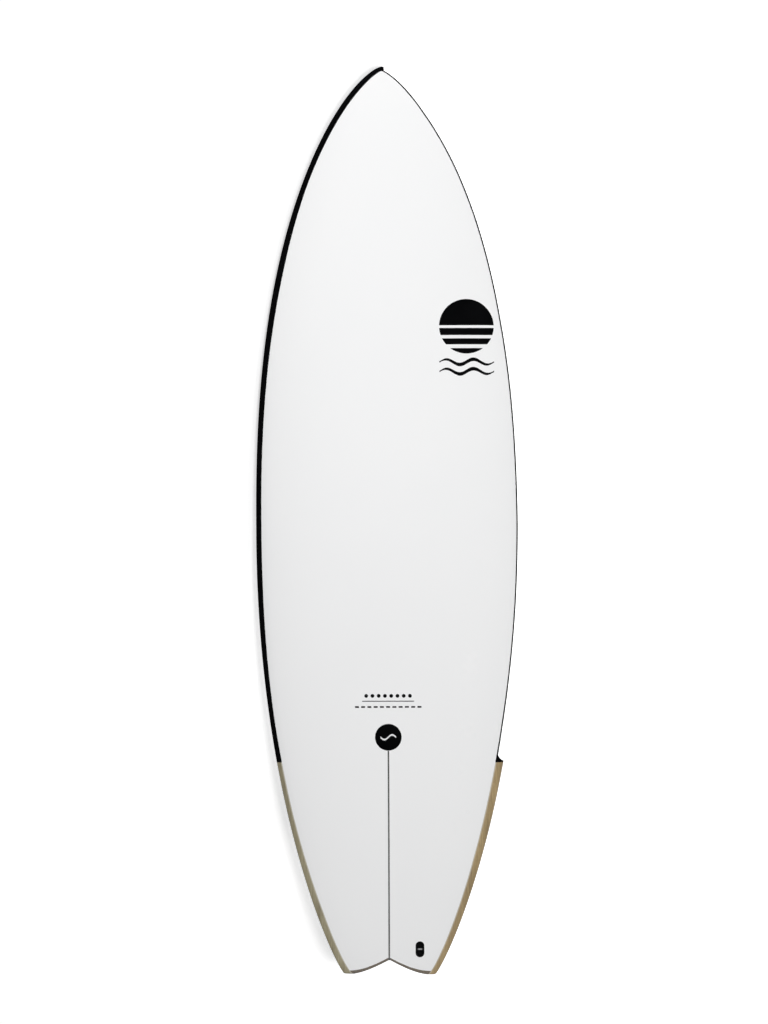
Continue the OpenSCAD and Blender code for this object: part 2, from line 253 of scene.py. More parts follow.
# ---------------------------------------------------------------- shader helpers
def material(name, rough, metallic=0.0, coat=0.0, coat_rough=0.05, spec=0.5):
    mat = bpy.data.materials.new(name)
    mat.use_nodes = True
    shader = mat.node_tree.nodes["Principled BSDF"]
    for socket, value in {"Roughness": rough, "Metallic": metallic, "Coat Weight": coat,
                          "Coat Roughness": coat_rough, "Specular IOR Level": spec}.items():
        shader.inputs[socket].default_value = value
    return mat, mat.node_tree, shader


def node(tree, kind, **values):
    """A new node, with its sockets or properties set by name."""
    new = tree.nodes.new(kind)
    for name, value in values.items():
        if name in new.inputs:
            new.inputs[name].default_value = value
        else:
            setattr(new, name, value)
    return new


def coords(tree, scale=(1, 1, 1)):
    source = node(tree, "ShaderNodeTexCoord")
    mapping = node(tree, "ShaderNodeMapping", Scale=scale)
    tree.links.new(source.outputs["Object"], mapping.inputs["Vector"])
    return mapping.outputs["Vector"]


def parts(tree, vector):
    split = node(tree, "ShaderNodeSeparateXYZ")
    tree.links.new(vector, split.inputs["Vector"])
    return split.outputs


def noise(tree, vector, scale, detail=3.0, rough=0.5):
    texture = node(tree, "ShaderNodeTexNoise", Scale=scale, Detail=detail, Roughness=rough)
    tree.links.new(vector, texture.inputs["Vector"])
    return texture.outputs["Fac"]


def cells(tree, vector, **values):
    texture = node(tree, "ShaderNodeTexVoronoi", **values)
    tree.links.new(vector, texture.inputs["Vector"])
    return texture.outputs["Distance"]


def ramp(tree, factor, stops):
    colours = node(tree, "ShaderNodeValToRGB")
    elements = colours.color_ramp.elements
    while len(elements) < len(stops):
        elements.new(0.5)
    for element, (position, colour) in zip(elements, stops):
        element.position = position
        element.color = (*colour, 1)
    tree.links.new(factor, colours.inputs["Fac"])
    return colours.outputs["Color"]


def two_tone(tree, factor, dark, light):
    return ramp(tree, factor, [(0.3, dark), (0.7, light)])


def spread(tree, factor, low, high, start=0.3, end=0.7):
    """Maps start to end onto low to high, and stops there."""
    mapped = node(tree, "ShaderNodeMapRange",
                  **{"From Min": start, "From Max": end, "To Min": low, "To Max": high})
    tree.links.new(factor, mapped.inputs["Value"])
    return mapped.outputs["Result"]


def math_node(tree, operation, *terms):
    result = node(tree, "ShaderNodeMath", operation=operation)
    for socket, term in zip(result.inputs, terms):
        if isinstance(term, (int, float)):
            socket.default_value = term
        else:
            tree.links.new(term, socket)
    return result.outputs["Value"]


def weighted(tree, value, weight, base):
    """A value times its weight, added to a base."""
    return math_node(tree, "ADD", math_node(tree, "MULTIPLY", value, weight), base)


def tinted(tree, colour, tint):
    """Two colours multiplied."""
    mix = node(tree, "ShaderNodeMix", data_type="RGBA", blend_type="MULTIPLY")
    mix.inputs["Factor"].default_value = 1.0
    tree.links.new(colour, mix.inputs["A"])
    tree.links.new(tint, mix.inputs["B"])
    return mix.outputs["Result"]


def covered(tree, colour, cover, factor):
    """A colour with the fixed colour cover laid over it, by a factor."""
    mix = node(tree, "ShaderNodeMix", data_type="RGBA")
    mix.inputs["B"].default_value = (*cover, 1)
    tree.links.new(factor, mix.inputs["Factor"])
    tree.links.new(colour, mix.inputs["A"])
    return mix.outputs["Result"]


def bump(tree, shader, height, strength, distance):
    relief = node(tree, "ShaderNodeBump", Strength=strength, Distance=distance)
    tree.links.new(height, relief.inputs["Height"])
    tree.links.new(relief.outputs["Normal"], shader.inputs["Normal"])


CLOTH = 0.0011  # metres per thread of the glass cloth
WAVE_PERIOD = 0.314  # metres between the bands of a wave texture whose scale is 1


def weave(tree):
    """Plain-weave glass cloth: two crossed waves."""
    vector = coords(tree)
    waves = []
    for direction in "XY":
        wave = node(tree, "ShaderNodeTexWave", bands_direction=direction, Scale=WAVE_PERIOD / CLOTH)
        tree.links.new(vector, wave.inputs["Vector"])
        waves.append(wave.outputs["Fac"])
    return math_node(tree, "MULTIPLY", *waves)


# ---------------------------------------------------------------- materials
def laminate(name, light, dark):
    """White glass laminate: faintly clouded and flecked, with the weave just showing."""
    mat, tree, shader = material(name, rough=0.32, coat=1.0, coat_rough=0.03)
    vector = coords(tree)
    cloud = two_tone(tree, noise(tree, vector, 6.0, 4.0), dark, light)
    fleck = ramp(tree, noise(tree, vector, 900.0, 2.0),
                 [(0.30, (0.984, 0.985, 0.987)), (0.45, (1, 1, 1))])
    tree.links.new(tinted(tree, cloud, fleck), shader.inputs["Base Color"])
    tree.links.new(spread(tree, noise(tree, vector, 25.0, 5.0), 0.31, 0.37), shader.inputs["Roughness"])
    bump(tree, shader, weighted(tree, weave(tree), 0.25, noise(tree, vector, 40.0, 2.0)), 0.05, 0.0004)
    return mat


def gloss_paint(name, light, dark, rough=0.22, coat_rough=0.04):
    mat, tree, shader = material(name, rough=rough, coat=1.0, coat_rough=coat_rough)
    vector = coords(tree)
    cloud = two_tone(tree, noise(tree, vector, 12.0, 5.0), dark, light)
    dull = spread(tree, noise(tree, vector, 60.0, 4.0), rough - 0.03, rough + 0.03)
    tree.links.new(cloud, shader.inputs["Base Color"])
    tree.links.new(dull, shader.inputs["Roughness"])
    bump(tree, shader, noise(tree, vector, 160.0, 2.0), 0.04, 0.0003)
    return mat


def coated_wood(name, stops, mist=None, side_light_tints=None):
    """Straight-grained wood under clear resin; the grain runs along the board.

    mist is the colour of the thin overspray next to the deck, which fades out over 3 mm.
    The last argument tints the left and the right rail apart with painted light: cool and grey on the left
    for the sheen it shows, warmer on the right.
    """
    mat, tree, shader = material(name, rough=0.4, coat=1.0)
    grain = noise(tree, coords(tree, (1, 0.035, 1)), 620.0, 6.0, 0.62)
    broad = noise(tree, coords(tree, (1, 0.12, 1)), 55.0, 4.0)
    figure = weighted(tree, grain, 0.55, math_node(tree, "MULTIPLY", broad, 0.45))
    pores = noise(tree, coords(tree, (1, 0.06, 1)), 1700.0, 2.0)
    wood = tinted(tree, ramp(tree, figure, stops),
                  ramp(tree, pores, [(0.30, (0.62, 0.58, 0.52)), (0.40, (1, 1, 1))]))
    # painted light: the left rail is tinted cool and grey for its sheen, the right rail warmer
    if side_light_tints:
        side = spread(tree, parts(tree, coords(tree))["X"], 0.0, 1.0, -0.02, 0.02)
        wood = tinted(tree, wood, ramp(tree, side, [(0.45, side_light_tints[0]), (0.55, side_light_tints[1])]))
    if mist:
        inset = node(tree, "ShaderNodeAttribute", attribute_name="inset")
        reach = weighted(tree, broad, 1.2, inset.outputs["Fac"])
        wood = covered(tree, wood, mist, spread(tree, reach, 0.8, 0.0, 0.6, 3.6))
    tree.links.new(wood, shader.inputs["Base Color"])
    tree.links.new(spread(tree, figure, 0.33, 0.5), shader.inputs["Roughness"])
    bump(tree, shader, pores, 0.08, 0.0003)
    return mat


def moulded(name, light, dark, rough=0.45):
    mat, tree, shader = material(name, rough=rough)
    vector = coords(tree)
    cloud = two_tone(tree, noise(tree, vector, 45.0, 4.0), dark, light)
    dull = spread(tree, noise(tree, vector, 300.0, 3.0), rough - 0.08, rough + 0.1)
    tree.links.new(cloud, shader.inputs["Base Color"])
    tree.links.new(dull, shader.inputs["Roughness"])
    bump(tree, shader, noise(tree, vector, 1500.0, 3.0), 0.15, 0.0002)
    return mat


def steel(name, light, dark, rough, cup_shade=None):
    """Brushed steel; the last argument gives the middle and the half length of a bar whose ends are darkened
    with painted shade, as if the deep cup shaded them.
    """
    mat, tree, shader = material(name, rough=rough, metallic=1.0)
    streak = noise(tree, coords(tree, (1, 0.08, 1)), 2500.0, 3.0)
    colour = two_tone(tree, streak, dark, light)
    if cup_shade:
        middle, reach = cup_shade
        offset = math_node(tree, "SUBTRACT", parts(tree, coords(tree))["X"], middle)
        away = spread(tree, math_node(tree, "ABSOLUTE", offset), 0.0, 1.0, 0.45 * reach, 0.85 * reach)
        # painted shade: the bar darkens to near black towards its ends, where the deep cup would shade it
        colour = covered(tree, colour, (0.02, 0.02, 0.021), away)
    tree.links.new(colour, shader.inputs["Base Color"])
    tree.links.new(spread(tree, streak, rough - 0.08, rough + 0.12), shader.inputs["Roughness"])
    bump(tree, shader, streak, 0.1, 0.0001)
    return mat


def bead_foam(name, light, dark, scale):
    mat, tree, shader = material(name, rough=0.85)
    beads = cells(tree, coords(tree), Scale=scale)
    tree.links.new(ramp(tree, beads, [(0.1, light), (0.75, dark)]), shader.inputs["Base Color"])
    bump(tree, shader, beads, 0.4, 0.0005)
    return mat


def composite(name):
    """Smoke-grey glass and honeycomb fin laminate under a gloss coat."""
    mat, tree, shader = material(name, rough=0.3, coat=1.0, coat_rough=0.04)
    vector = coords(tree)
    axes = parts(tree, vector)
    flat = node(tree, "ShaderNodeCombineXYZ")
    tree.links.new(axes["Y"], flat.inputs["X"])
    tree.links.new(axes["Z"], flat.inputs["Y"])
    comb = cells(tree, flat.outputs["Vector"], voronoi_dimensions="2D", feature="DISTANCE_TO_EDGE",
                 Scale=190.0, Randomness=0.7)
    lines = ramp(tree, comb, [(0.03, (0.10, 0.107, 0.118)), (0.12, (0.04, 0.043, 0.05))])
    cloud = two_tone(tree, noise(tree, vector, 18.0, 4.0), (0.75, 0.75, 0.78), (1, 1, 1))
    tree.links.new(tinted(tree, lines, cloud), shader.inputs["Base Color"])
    tree.links.new(spread(tree, noise(tree, vector, 60.0, 4.0), 0.3, 0.38), shader.inputs["Roughness"])
    bump(tree, shader, weighted(tree, weave(tree), 0.4, noise(tree, vector, 60.0)), 0.06, 0.0003)
    return mat


# the middle and the half length of the bar, which place the painted shade at its ends
BAR_MIDDLE, BAR_REACH = 0.0585, 0.0058  # of the leash plug's bar, in metres
RAIL_WOOD = [(0.32, (0.212, 0.155, 0.075)), (0.5, (0.388, 0.306, 0.156)), (0.68, (0.562, 0.45, 0.25))]
# the two side tints are painted light: a cool grey sheen on the left rail and warmer light on the right
LEFT_SHEEN_TINT, RIGHT_LIGHT_TINT, OVERSPRAY = (0.76, 0.85, 1.0), (0.88, 0.8, 0.71), (0.7, 0.67, 0.58)
MATS = {
    "white": laminate("white_laminate", (0.892, 0.894, 0.896), (0.883, 0.886, 0.89)),
    "foam": bead_foam("bead_foam", (0.9, 0.91, 0.92), (0.7, 0.73, 0.76), 420.0),
    "dense": bead_foam("dense_foam", (0.78, 0.7, 0.42), (0.6, 0.52, 0.3), 900.0),
    "stringer": coated_wood("stringer_strip", [(0.3, (0.035, 0.034, 0.033)), (0.7, (0.085, 0.083, 0.08))]),
    "black": gloss_paint("black_gloss", (0.0035, 0.0035, 0.004), (0.0015, 0.0015, 0.0018)),
    "wood": coated_wood("clear_rail_wood", RAIL_WOOD, OVERSPRAY, (LEFT_SHEEN_TINT, RIGHT_LIGHT_TINT)),
    "tail": coated_wood("tail_block_wood", [(0.3, (0.078, 0.063, 0.045)), (0.7, (0.18, 0.142, 0.098))]),
    "box": moulded("box_plastic", (0.72, 0.72, 0.70), (0.62, 0.62, 0.61)),
    "plug": moulded("plug_plastic", (0.009, 0.009, 0.0095), (0.005, 0.005, 0.0055), 0.5),
    "screw": steel("screw_steel", (0.62, 0.62, 0.63), (0.4, 0.4, 0.42), 0.34),
    "bar": steel("bar_steel", (0.55, 0.55, 0.56), (0.4, 0.4, 0.42), 0.3, (BAR_MIDDLE, BAR_REACH)),
    "fin": composite("fin_composite"),
    "ink": gloss_paint("black_print", (0.004, 0.004, 0.0045), (0.0015, 0.0015, 0.0018), 0.35, 0.06),
    "white_ink": gloss_paint("white_print", (0.86, 0.865, 0.87), (0.82, 0.825, 0.83), 0.35, 0.06),
}


def dress(ob, key):
    ob.data.materials.clear()
    ob.data.materials.append(MATS[key])


def piece(ob, key, body="board", nodes=()):
    dress(ob, key)
    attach(ob, body)
    if nodes:
        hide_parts(*nodes)


# ---------------------------------------------------------------- skins
# rows lie closest at the tail and the nose; rails and pinlines share these limits, so that they meet
TAIL_END, BODY_START, BODY_END, NOSE_START, SKIN_END = 130.0, 137.0, 1600.0, 1605.0, 1717.0
TAIL_ROWS = np.linspace(BLOCK_D, TAIL_END, 26)
NOSE_ROWS = np.linspace(NOSE_START, SKIN_END, 34)
SHARE, ROW = np.meshgrid(np.sin(np.linspace(-np.pi / 2, np.pi / 2, 57)),
                         np.concatenate([TAIL_ROWS, np.linspace(BODY_START, BODY_END, 170), NOSE_ROWS]))
SKIN_X, SKIN_U = spots(SHARE, ROW)

PLUG_X, PLUG_U, PLUG_L, PLUG_W = 58.5, 48.5, 30.0, 16.5
BOX_BACK, BOX_FRONT, BOX_W, BOX_SINK = -66.0, 67.0, 14.0, 0.1
BOXES = {"left": (-156.4, 339.0, -3.0), "right": (156.4, 339.0, 3.0), "centre": (0.0, 148.0, 0.0),
         "left_rear": (-103.4, 200.0, -1.5), "right_rear": (103.4, 200.0, 1.5)}  # x, u, toe in degrees


def slope(surface, x, u, dx, du):
    """Angle of a surface between the places dx and du before and after x, u."""
    rise = float(surface(x + dx, u + du) - surface(x - dx, u - du))
    return math.atan(rise / (2 * (dx + du)))


def plug_matrix():
    middle = Vector((PLUG_X, PLUG_U, float(deck_z(PLUG_X, PLUG_U)))) / 1000
    return (REST @ Matrix.Translation(middle)
            @ Matrix.Rotation(slope(deck_z, PLUG_X, PLUG_U, 0, 12), 4, "X")
            @ Matrix.Rotation(-slope(deck_z, PLUG_X, PLUG_U, 6, 0), 4, "Y")
            @ Matrix.Rotation(math.pi / 2, 4, "Z"))


def box_matrix(key):
    x, u, toe = BOXES[key]
    middle = Vector((x, u, float(bottom_z(x, u)) + BOX_SINK)) / 1000
    return (REST @ Matrix.Translation(middle) @ Matrix.Rotation(slope(bottom_z, x, u, 0, 60), 4, "X")
            @ Matrix.Rotation(math.radians(90 + toe), 4, "Z"))


z = deck_z(SKIN_X, SKIN_U)
deck = shell("deck_laminate", place(SKIN_X, SKIN_U, z), place(SKIN_X, SKIN_U, z - DECK_T))
carve(deck, [round_cutter(-PLUG_L / 2 - GLUE, PLUG_L / 2 + GLUE, PLUG_W + 2 * GLUE, -20, 10, plug_matrix())])
piece(deck, "white", nodes=("deck_skin",))

z = bottom_z(SKIN_X, SKIN_U)
bottom = shell("bottom_laminate", place(SKIN_X, SKIN_U, z + BOTTOM_T), place(SKIN_X, SKIN_U, z))
carve(bottom, [round_cutter(BOX_BACK - GLUE, BOX_FRONT + GLUE, BOX_W + 2 * GLUE, -5, 10, box_matrix(key))
               for key in BOXES])
piece(bottom, "white", nodes=("bottom_skin",))

# ---------------------------------------------------------------- rails and tail
AROUND = np.linspace(0, 1, 22)  # places around a rail, from the seam to the widest line
NOSE_CAP = 8.5  # length of the nose in front of the foam, where the rails meet
FAR_INSIDE = 9.0  # keeps the rail's underside clear of the overspray, in mm
LINE_LIFT, LINE_SINK, EDGE_SHADE_SINK = 0.08, 0.5, 0.4
LINE_W, LINE_LAP = 2.7, 0.15
LINE_START, LINE_EDGE = RAIL_CHANGE + 0.5, 0.1  # the line stays this far inside the outline
COLLAR_W, COLLAR_HOOK, COLLAR_LAP, COLLAR_LIFT, COLLAR_SINK = 3.4, 15.0, 1.4, 0.1, 0.4


def rail(name, rows, side, key, cad):
    """One length of a rail; a surface value keeps each point's distance from the seam."""
    tops, bottoms, insets = [], [], []
    around = np.sin(np.pi / 2 * AROUND)
    for t in rows:
        u = float(spots(side, t)[1])
        inner = (float(seam(u, side)) if t <= SKIN_END else 0.0) + GLUE
        breadth = float(half(u)) - inner
        inset = max(LEAST_W, breadth * float(tail_fade(t, BLOCK_D / 2)) ** 0.3) * around
        under = inner + max(LEAST_W, breadth) * around
        top, under_side = faired(side * (inner + inset), u, under, tail_fade(t) * nose_fade(u))
        tops.append(top)
        bottoms.append(under_side)
        insets.append(inset)
    ob = shell(name, np.array(tops)[:, ::side], np.array(bottoms)[:, ::side], RAIL_SHARP)
    inset = np.array(insets)[:, ::side].ravel()
    values = np.concatenate([inset, inset + FAR_INSIDE]).astype(np.float32)
    ob.data.attributes.new("inset", "FLOAT", "POINT").data.foreach_set("value", values)
    piece(ob, key, nodes=(cad,))


def pinline(name, side):
    """The thin matt black line that closes the joint between deck and black rail."""
    rows = np.concatenate([np.linspace(LINE_START, BODY_END, 200),
                           np.linspace(NOSE_START, SKIN_END, 60),
                           np.linspace(SKIN_END + 0.6, LENGTH - 1, 24)])
    u, across = np.meshgrid(rows, np.linspace(0, 1, 4), indexing="ij")
    width = (LINE_W * across - LINE_LAP) / edge_cos(np.minimum(u, SKIN_END))
    x = np.minimum(np.maximum(seam(u, side), LINE_EDGE) + width, half(u) - LINE_EDGE * (1 - across / 2))
    mid = rocker(u) + apex(u)
    z = (mid + (deck_z(x, u) - mid) * nose_fade(u))[:, ::side]
    x = side * x[:, ::side]
    piece(shell(name, place(x, u, z + LINE_LIFT), place(x, u, z - LINE_SINK)), "ink")


def collar(name, side):
    """The matt edge of the black paint over the rail, next to the clear wood."""
    outer, inner = [], []
    for along in np.linspace(0, 1, 14):
        ring = []
        for surface, share in ([(deck_z, k) for k in AROUND]
                               + [(bottom_z, k) for k in AROUND[-2::-1]]):
            hook = COLLAR_HOOK * (1 - share) ** 3 if surface is deck_z else 0.0
            u = RAIL_CHANGE - COLLAR_LAP + along * (COLLAR_W + hook)
            start = float(seam(u, side))
            x = start + (float(half(u)) - start) * math.sin(math.pi / 2 * share)
            ring.append((x, u, float(surface(x, u))))
        ring = np.array(ring)
        dx, dz = np.gradient(ring[:, [0, 2]], axis=0).T
        out = np.stack([-dz, 0 * dx, dx], 1) / np.hypot(dx, dz)[:, None]
        outer.append(ring + COLLAR_LIFT * out)
        inner.append(ring - COLLAR_SINK * out)
    grids = [place(*np.moveaxis(np.array(rows)[:, ::side] * (side, 1, 1), -1, 0)) for rows in (outer, inner)]
    piece(shell(name, *grids), "ink")


def lobe_end(name, side, cad):
    """The block of wood across one lobe of the tail."""
    rows = BLOCK_D * np.sin(np.linspace(0, np.pi / 2, 10)) ** 2
    rows[-1] -= GLUE
    start = (STRINGER_W / 2 + GLUE) / float(seam(0.0, side))
    share, row = np.meshgrid(side * (start + (1 - start) * np.sin(np.linspace(0, np.pi / 2, 36))), rows)
    x, u = spots(share, row)
    top, under_side = faired(x, u, x, tail_fade(row))
    piece(shell(name, top[:, ::side], under_side[:, ::side], RAIL_SHARP), "tail", nodes=(cad,))


WOOD_ROWS = np.concatenate([BLOCK_D * np.sin(np.linspace(0, np.pi / 2, 9))[:-1] ** 2, TAIL_ROWS,
                            np.linspace(BODY_START, RAIL_CHANGE, 40)])
CAP_ROWS = LENGTH - NOSE_CAP + NOSE_CAP * np.sin(np.linspace(0, np.pi / 2, 14))
BLACK_ROWS = np.concatenate([np.linspace(RAIL_CHANGE + GLUE, BODY_END, 150), NOSE_ROWS,
                             [SKIN_END + 0.2], CAP_ROWS])
for side, s in ((-1, "left"), (1, "right")):
    rail(s + "_rail_black", BLACK_ROWS, side, "black", s + "_rail_front")
    pinline(s + "_pinline", side)
    collar(s + "_collar", side)
    rail(s + "_rail_wood", WOOD_ROWS, side, "wood", s + "_rail_tail")
    lobe_end(s + "_lobe_end", side, s + "_tail_block")

# a thin strip of the dark tail wood over the deck, just in front of the tail blocks: partly the wooden edge,
# partly painted shade of the tail's rounded end
EDGE_SHADE_ROWS = BLOCK_D + np.array([-GLUE, 0.4, 0.8, 1.2])
x, u = spots(*np.meshgrid(np.sin(np.linspace(-np.pi / 2, np.pi / 2, 90)), EDGE_SHADE_ROWS))
z = deck_z(x, u)
piece(shell("tail_trim", place(x, u, z + LINE_LIFT), place(x, u, z - EDGE_SHADE_SINK)), "tail")

STRIP_LIFT = 0.12
STRIP_ROWS = np.concatenate([[NOTCH_D - 0.2], np.linspace(30, STRINGER_END, 120)])
u, x = np.meshgrid(STRIP_ROWS, STRINGER_W * np.linspace(-0.5, 0.5, 5), indexing="ij")
piece(shell("tail_strip", place(x, u, deck_z(0, u) + STRIP_LIFT), place(x, u, bottom_z(0, u) + BOTTOM_T)),
      "stringer", nodes=("tail_stringer",))

# ---------------------------------------------------------------- fins
SLOT_L, SLOT_W = 110.0, 6.4
SLOT_FRONT, SLOT_BACK = SLOT_L / 2 - 5, -SLOT_L / 2 - 5
FIN_H, FIN_BASE, FIN_T, CANT = 114.0, 106.0, 7.0, math.radians(6.5)
FIN_RAKE, FIN_HOOK = 92.0, 22.0  # how far the front edge leans back, and bends back more near the tip
BACK_HOLLOW, BACK_RAKE = 6.0, 30.0  # how far the back edge curves in low down, and leans back
TIP_START = 0.93  # share of the height from which the tip is rounded
TIP_THINNING, FOIL, FIN_EDGE = 0.72, 2.2, 0.12  # loss of thickness, fullness of the section, half edge
FIN_GAP, TAB_R = 0.3, 2.0
SIDE_SLOT_D, CENTRE_SLOT_D = 19.0, 13.0


def fin(key, side, depth):
    """A blade and the tab that drops into its slot."""
    h, c = np.meshgrid(1 - (1 - np.linspace(0, 1, 60)) ** 1.4, np.linspace(0, 1, 44) ** 1.5, indexing="ij")
    front = SLOT_FRONT - 1 - FIN_RAKE * h ** 1.45 - FIN_HOOK * h ** 5
    back = (SLOT_FRONT - 1 - FIN_BASE + BACK_HOLLOW * np.sin(np.pi * np.minimum(1, h * 1.35))
            - BACK_RAKE * h ** 2.1)
    tip = 1 - np.sqrt(1 - progress(h, TIP_START, 1) ** 2)
    chord = front - back
    front, back = front - 0.35 * tip * chord, back + 0.4 * tip * chord
    # the side fins are flatter on the side that faces the stringer
    outside, inside = (1.6, 0.4) if side else (1.0, 1.0)
    plus, minus = (inside, outside) if side > 0 else (outside, inside)
    bulge = FIN_T * (1 - TIP_THINNING * h) * FOIL * (np.sqrt(c) * (1 - c) + 0.02) / 2 + FIN_EDGE
    lean = -side * math.tan(CANT) * h * FIN_H
    x, z = front + (back - front) * c, -FIN_GAP - h * FIN_H
    right = np.stack([x, lean - bulge * minus, z], -1) / 1000
    left = np.stack([x, lean + bulge * plus, z], -1) / 1000
    blade = shell(key + "_blade", right, left, RAIL_SHARP)
    start, end, low, high = SLOT_BACK + FIN_GAP, SLOT_FRONT - GLUE, -2 * FIN_GAP, depth - FIN_GAP
    ring = (arc(end - TAB_R, high - TAB_R, TAB_R, 0, 90, 8)
            + arc(start + TAB_R, high - TAB_R, TAB_R, 90, 180, 8) + [(start, low), (end, low)])
    thickness = SLOT_W - 0.2
    tab = prism(key + "_tab", ring, thickness / 2, -thickness / 2,
                lambda x, z, y: (x / 1000, y / 1000, z / 1000))
    for ob in (blade, tab):
        ob.data.transform(box_matrix(key))
        piece(ob, "fin", key + "_fin")
    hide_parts(key + "_fin")


fin("left", -1, SIDE_SLOT_D)
fin("right", 1, SIDE_SLOT_D)
fin("centre", 0, CENTRE_SLOT_D)

# ---------------------------------------------------------------- printed marks
LIFT, SINK = 0.10, 0.3


def printed(name, x, u, key="ink", lift=LIFT, sink=SINK):
    """A thin print on the deck, over a grid of places whose rows run forward."""
    z = deck_z(x, u)
    piece(shell(name, place(x, u, z + lift), place(x, u, z - sink)), key)


def print_strip(name, x0, x1, u0, u1, rows, cols):
    u, x = np.meshgrid(np.linspace(u0, u1, rows), np.linspace(x0, x1, cols), indexing="ij")
    printed(name, x, u)


def print_disc(name, x, u, r, low=-1.0, high=1.0, rows=36):
    """A disc, or the band of it between two shares of its radius."""
    ends = math.asin(max(-0.9999, low)), math.asin(min(0.9999, high))
    row, across = np.meshgrid(u + r * np.sin(np.linspace(*ends, rows)), np.linspace(-1, 1, 25), indexing="ij")
    printed(name, x + across * np.sqrt(np.maximum(r * r - (row - u) ** 2, 0.0004)), row)


# a striped sun over two waves, where the board carries its large mark
SUN_X, SUN_U, SUN_R = 155.0, 1236.0, 52.0
WAVE_DEPTH, WAVE_T = 5.0, 3.6  # swing to either side, and half breadth
for k, (low, high) in enumerate([(-1.0, -0.80), (-0.66, -0.44), (-0.32, -0.06), (0.04, 1.0)]):
    print_disc(f"sun_band_{k + 1}", SUN_X, SUN_U, SUN_R, low, high, 10 if high - low < 0.5 else 30)
for k, below in enumerate((68.0, 86.0)):
    across, x = np.meshgrid(np.linspace(-1, 1, 5), np.linspace(-SUN_R, SUN_R, 72), indexing="ij")
    width = WAVE_T * np.sin(np.pi * np.clip((x + SUN_R) / (2 * SUN_R), 0.04, 0.96)) ** 0.5
    wave = WAVE_DEPTH * np.sin(2 * np.pi * x / SUN_R)
    printed(f"wave_{k + 1}", SUN_X + x, SUN_U - below + wave + across * width)

# a plain black disc with a white wave line, in front of the stringer
BADGE_U, BADGE_R = 451.0, 25.5
BADGE_WAVE, BADGE_DEPTH, BADGE_T = 15.0, 4.5, 1.7  # half length, swing and half breadth of its line
print_disc("badge_disc", 0.0, BADGE_U, BADGE_R)
across, x = np.meshgrid(np.linspace(-1, 1, 4), np.linspace(-BADGE_WAVE, BADGE_WAVE, 40), indexing="ij")
printed("badge_wave", x, BADGE_U + BADGE_DEPTH * np.sin(np.pi * x / BADGE_WAVE) + BADGE_T * across,
        "white_ink", 2 * LIFT, 0.2)

# a row of dots, a fine rule and a row of dashes, in front of the badge
SPACING, DOTS, DASHES = 12.0, 8, 11
DOT_U, DOT_R, RULE_L, DASH_L = 530.0, 3.6, 100.0, 7.6
for k in range(DOTS):
    print_disc(f"dot_{k + 1}", SPACING * (k - (DOTS - 1) / 2), DOT_U, DOT_R, rows=14)
print_strip("rule", -RULE_L / 2, RULE_L / 2, 519.0, 520.6, 3, 40)
for k in range(DASHES):
    middle = SPACING * (k - (DASHES - 1) / 2)
    print_strip(f"dash_{k + 1}", middle - DASH_L / 2, middle + DASH_L / 2, 507.2, 510.4, 4, 6)

# ---------------------------------------------------------------- CAD nodes that stay
for name in ("left", "right", "centre"):
    dress(NODES[name + "_fin_box"], "box")
    dress(NODES[name + "_box_insert"], "dense")
    dress(NODES[name + "_grub_screw"], "screw")
for name in ("left_rear", "right_rear"):
    dress(NODES[name + "_box"], "box")
    dress(NODES[name + "_insert"], "dense")
dress(NODES["foam_core"], "foam")
dress(NODES["leash_plug_cup"], "plug")
dress(NODES["leash_plug_bar"], "bar")

# ---------------------------------------------------------------- stage and light
ROOM_GLOW, FLOOR_REACH, FLOOR_Z = 1.09, 30.0, -0.0005
ALL_ROUND = np.linspace(0, 360, 49) % 360


def link_light(ob, names, state="INCLUDE"):
    group = bpy.data.collections.new(ob.name + "_receivers")
    for name in names:
        group.objects.link(bpy.data.objects[name])
    for item in group.collection_objects:
        item.light_linking.link_state = state
    ob.light_linking.receiver_collection = group


def emitter(name, verts, faces, strength, receivers, camera):
    """A glowing stage surface that only gloss, or only the camera, sees."""
    mesh = bpy.data.meshes.new(name)
    mesh.from_pydata(verts, [], faces)
    ob = linked(name, mesh)
    mat = bpy.data.materials.new(name)
    mat.use_nodes = True
    tree = mat.node_tree
    tree.nodes.clear()
    surface = node(tree, "ShaderNodeEmission", Strength=strength).outputs[0]
    if not camera:
        both = node(tree, "ShaderNodeAddShader")
        tree.links.new(surface, both.inputs[0])
        tree.links.new(node(tree, "ShaderNodeBsdfTransparent").outputs[0], both.inputs[1])
        surface = both.outputs[0]
    tree.links.new(surface, node(tree, "ShaderNodeOutputMaterial").inputs["Surface"])
    mesh.materials.append(mat)
    ob.visible_camera = camera
    ob.visible_glossy = not camera
    ob.visible_diffuse = ob.visible_transmission = ob.visible_volume_scatter = ob.visible_shadow = False
    if receivers:
        link_light(ob, receivers)


def sky(azimuth, elevation, r):
    a, e = math.radians(azimuth), math.radians(elevation)
    return r * math.cos(e) * math.cos(a), r * math.cos(e) * math.sin(a), r * math.sin(e)


def sky_sheet(name, rims, strength, receivers=(), r=20.0, camera=False):
    """A softbox or wall as seen from the board: each rim is a row of azimuths and elevations."""
    n = len(rims[0])
    verts = [sky(azimuth, elevation, r) for rim in rims for azimuth, elevation in rim]
    faces = [[i * n + j, i * n + j + 1, (i + 1) * n + j + 1, (i + 1) * n + j]
             for i in range(len(rims) - 1) for j in range(n - 1)]
    emitter(name, verts, faces, strength, receivers, camera)


def grid(azimuths, elevations):
    return [[(azimuth, elevation) for elevation in elevations] for azimuth in azimuths]


